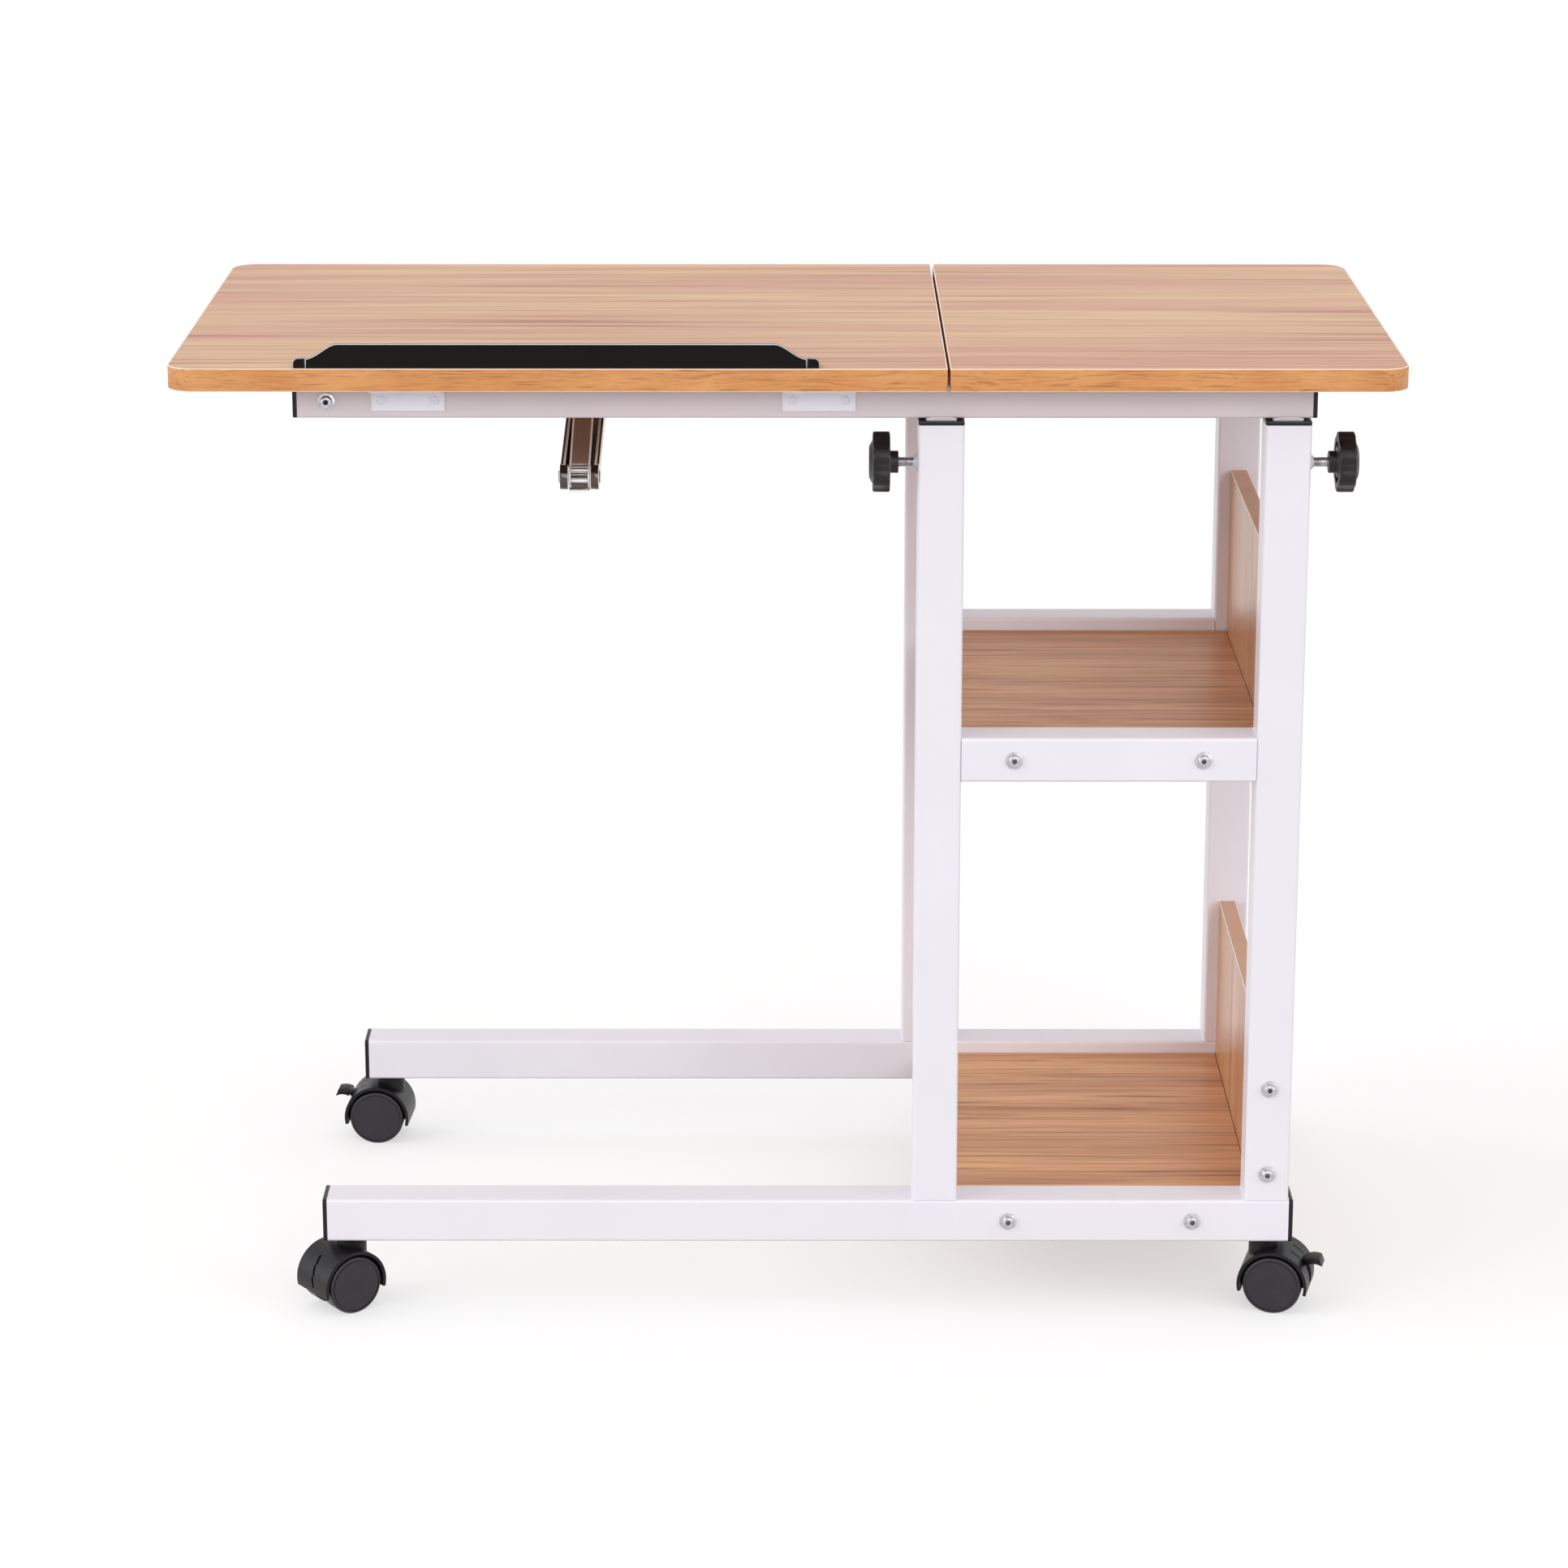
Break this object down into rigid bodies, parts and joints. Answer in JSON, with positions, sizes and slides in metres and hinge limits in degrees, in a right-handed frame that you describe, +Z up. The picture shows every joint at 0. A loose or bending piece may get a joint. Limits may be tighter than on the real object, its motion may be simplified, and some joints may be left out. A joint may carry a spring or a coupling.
{
  "type": "rolling laptop desk",
  "caption": "Height-adjustable rolling laptop desk with a tilting board, a fixed side board, two open shelves, clamp knobs, a folding ratchet strut and swivel casters.",
  "frame": {"origin": "on the floor, below the middle of the tabletop", "axes": "+X to the right along the tabletop's width, +Y to the back, +Z up"},
  "size_m": [0.8, 0.4, 0.672],
  "materials": {
    "white_paint": "smooth semi-gloss powder coat",
    "laminate": "satin printed wood laminate, grain along the width",
    "edge_band": "satin wood edge band",
    "shelf_wood": "satin printed wood laminate",
    "panel_wood": "satin printed wood laminate, upright grain",
    "black_plastic": "fine satin moulding",
    "black_gloss": "smooth glossy moulding",
    "wheel_plastic": "smooth hard plastic",
    "zinc": "bright zinc plating",
    "chrome": "polished chrome"
  },
  "bodies": {
    "frame": {"front_leg": "white_paint", "rear_leg": "white_paint", "posts": "white_paint", "shelf_rails": "white_paint", "upper_shelf": "shelf_wood", "lower_shelf": "shelf_wood", "upper_side_panel": "panel_wood", "lower_side_panel": "panel_wood", "leg_end_caps": "black_plastic", "post_collars": "black_plastic", "clamp_nuts": "white_paint", "frame_bolts": "zinc", "caster_stems": "zinc"},
    "upper_frame": {"front_rail": "white_paint", "rear_rail": "white_paint", "cross_tube": "white_paint", "inner_tubes": "white_paint", "inner_tube_glides": "black_plastic", "rail_end_caps": "black_plastic", "rail_screws": "zinc", "fixed_board": "laminate", "fixed_board_edging": "edge_band", "hinge_fixed_leaves": "white_paint", "hinge_pins": "zinc", "strut_rail_bracket": "chrome"},
    "tilt_board": {"tilting_board": "laminate", "tilting_board_edging": "edge_band", "hinge_moving_leaves": "white_paint", "stopper_bar": "black_gloss", "tilting_board_screws": "zinc", "strut_board_bracket": "chrome"},
    "outer_arm": {"strut_outer_arm": "chrome"},
    "inner_arm": {"strut_inner_arm": "chrome", "strut_ratchet": "chrome"},
    "screw_front_left": {"clamp_screw_front_left": "zinc"},
    "knob_front_left": {"knob_front_left": "black_plastic"},
    "screw_front_right": {"clamp_screw_front_right": "zinc"},
    "knob_front_right": {"knob_front_right": "black_plastic"},
    "screw_rear_left": {"clamp_screw_rear_left": "zinc"},
    "knob_rear_left": {"knob_rear_left": "black_plastic"},
    "screw_rear_right": {"clamp_screw_rear_right": "zinc"},
    "knob_rear_right": {"knob_rear_right": "black_plastic"},
    "caster_front_left": {"caster_hood_front_left": "black_plastic", "axle_front_left": "zinc"},
    "wheel_front_left_a": {"wheel_front_left_a": "wheel_plastic"},
    "wheel_front_left_b": {"wheel_front_left_b": "wheel_plastic"},
    "caster_front_right": {"caster_hood_front_right": "black_plastic", "axle_front_right": "zinc"},
    "wheel_front_right_a": {"wheel_front_right_a": "wheel_plastic"},
    "wheel_front_right_b": {"wheel_front_right_b": "wheel_plastic"},
    "brake_front_right": {"brake_pedal_front_right": "black_plastic"},
    "caster_rear_left": {"caster_hood_rear_left": "black_plastic", "axle_rear_left": "zinc"},
    "wheel_rear_left_a": {"wheel_rear_left_a": "wheel_plastic"},
    "wheel_rear_left_b": {"wheel_rear_left_b": "wheel_plastic"},
    "brake_rear_left": {"brake_pedal_rear_left": "black_plastic"},
    "caster_rear_right": {"caster_hood_rear_right": "black_plastic", "axle_rear_right": "zinc"},
    "wheel_rear_right_a": {"wheel_rear_right_a": "wheel_plastic"},
    "wheel_rear_right_b": {"wheel_rear_right_b": "wheel_plastic"}
  },
  "joints": [
    {"name": "height_slide", "type": "slide", "parent": "frame", "child": "upper_frame", "axis": [0, 0, 1], "range_m": [0, 0.25]},
    {"name": "board_tilt", "type": "hinge", "parent": "upper_frame", "child": "tilt_board", "pos_m": [-0.113, -0.179, 0.6382], "axis": [1, 0, 0], "range_deg": [0, 30]},
    {"name": "outer_arm_fold", "type": "hinge", "parent": "upper_frame", "child": "outer_arm", "pos_m": [-0.139, 0.16, 0.609], "axis": [1, 0, 0], "range_deg": [-17.3, 0]},
    {"name": "inner_arm_fold", "type": "hinge", "parent": "tilt_board", "child": "inner_arm", "pos_m": [-0.139, 0.08, 0.629], "axis": [1, 0, 0], "range_deg": [-12.3, 0]},
    {"name": "clamp_slide_front_left", "type": "slide", "parent": "frame", "child": "screw_front_left", "axis": [-1, 0, 0], "range_m": [0, 0.002]},
    {"name": "knob_turn_front_left", "type": "hinge", "parent": "screw_front_left", "child": "knob_front_left", "pos_m": [0.0599, -0.165, 0.588], "axis": [-1, 0, 0], "range_deg": [0, 720]},
    {"name": "clamp_slide_front_right", "type": "slide", "parent": "frame", "child": "screw_front_right", "axis": [1, 0, 0], "range_m": [0, 0.002]},
    {"name": "knob_turn_front_right", "type": "hinge", "parent": "screw_front_right", "child": "knob_front_right", "pos_m": [0.3641, -0.165, 0.588], "axis": [1, 0, 0], "range_deg": [0, 720]},
    {"name": "clamp_slide_rear_left", "type": "slide", "parent": "frame", "child": "screw_rear_left", "axis": [-1, 0, 0], "range_m": [0, 0.002]},
    {"name": "knob_turn_rear_left", "type": "hinge", "parent": "screw_rear_left", "child": "knob_rear_left", "pos_m": [0.0599, 0.165, 0.588], "axis": [-1, 0, 0], "range_deg": [0, 720]},
    {"name": "clamp_slide_rear_right", "type": "slide", "parent": "frame", "child": "screw_rear_right", "axis": [1, 0, 0], "range_m": [0, 0.002]},
    {"name": "knob_turn_rear_right", "type": "hinge", "parent": "screw_rear_right", "child": "knob_rear_right", "pos_m": [0.3641, 0.165, 0.588], "axis": [1, 0, 0], "range_deg": [0, 720]},
    {"name": "swivel_front_left", "type": "hinge", "parent": "frame", "child": "caster_front_left", "pos_m": [-0.298, -0.165, 0.045], "axis": [0, 0, 1], "continuous": true},
    {"name": "roll_front_left_a", "type": "hinge", "parent": "caster_front_left", "child": "wheel_front_left_a", "pos_m": [-0.3128, -0.16031, 0.02], "axis": [0.6018, -0.7986, 0], "continuous": true},
    {"name": "roll_front_left_b", "type": "hinge", "parent": "caster_front_left", "child": "wheel_front_left_b", "pos_m": [-0.29757, -0.18052, 0.02], "axis": [0.6018, -0.7986, 0], "continuous": true},
    {"name": "swivel_front_right", "type": "hinge", "parent": "frame", "child": "caster_front_right", "pos_m": [0.325, -0.165, 0.045], "axis": [0, 0, 1], "continuous": true},
    {"name": "roll_front_right_a", "type": "hinge", "parent": "caster_front_right", "child": "wheel_front_right_a", "pos_m": [0.33067, -0.17945, 0.02], "axis": [0.2419, 0.9703, 0], "continuous": true},
    {"name": "roll_front_right_b", "type": "hinge", "parent": "caster_front_right", "child": "wheel_front_right_b", "pos_m": [0.33679, -0.1549, 0.02], "axis": [0.2419, 0.9703, 0], "continuous": true},
    {"name": "brake_front_right", "type": "hinge", "parent": "caster_front_right", "child": "brake_front_right", "pos_m": [0.34877, -0.17093, 0.028], "axis": [0.2419, 0.9703, 0], "range_deg": [0, 20]},
    {"name": "swivel_rear_left", "type": "hinge", "parent": "frame", "child": "caster_rear_left", "pos_m": [-0.298, 0.165, 0.045], "axis": [0, 0, 1], "continuous": true},
    {"name": "roll_rear_left_a", "type": "hinge", "parent": "caster_rear_left", "child": "wheel_rear_left_a", "pos_m": [-0.3061, 0.17825, 0.02], "axis": [-0.0698, -0.9976, 0], "continuous": true},
    {"name": "roll_rear_left_b", "type": "hinge", "parent": "caster_rear_left", "child": "wheel_rear_left_b", "pos_m": [-0.30786, 0.15301, 0.02], "axis": [-0.0698, -0.9976, 0], "continuous": true},
    {"name": "brake_rear_left", "type": "hinge", "parent": "caster_rear_left", "child": "brake_rear_left", "pos_m": [-0.32244, 0.16671, 0.028], "axis": [-0.0698, -0.9976, 0], "range_deg": [0, 20]},
    {"name": "swivel_rear_right", "type": "hinge", "parent": "frame", "child": "caster_rear_right", "pos_m": [0.325, 0.165, 0.045], "axis": [0, 0, 1], "continuous": true},
    {"name": "roll_rear_right_a", "type": "hinge", "parent": "caster_rear_right", "child": "wheel_rear_right_a", "pos_m": [0.33912, 0.15854, 0.02], "axis": [-0.5, 0.866, 0], "continuous": true},
    {"name": "roll_rear_right_b", "type": "hinge", "parent": "caster_rear_right", "child": "wheel_rear_right_b", "pos_m": [0.32647, 0.18046, 0.02], "axis": [-0.5, 0.866, 0], "continuous": true}
  ],
  "couplings": [
    {"joint": "outer_arm_fold", "follows": "board_tilt", "ratio": -0.57339},
    {"joint": "inner_arm_fold", "follows": "board_tilt", "ratio": -0.40774},
    {"joint": "knob_turn_front_left", "follows": "clamp_slide_front_left", "rad_per_m": 6283.2},
    {"joint": "knob_turn_front_right", "follows": "clamp_slide_front_right", "rad_per_m": 6283.2},
    {"joint": "knob_turn_rear_left", "follows": "clamp_slide_rear_left", "rad_per_m": 6283.2},
    {"joint": "knob_turn_rear_right", "follows": "clamp_slide_rear_right", "rad_per_m": 6283.2}
  ]
}
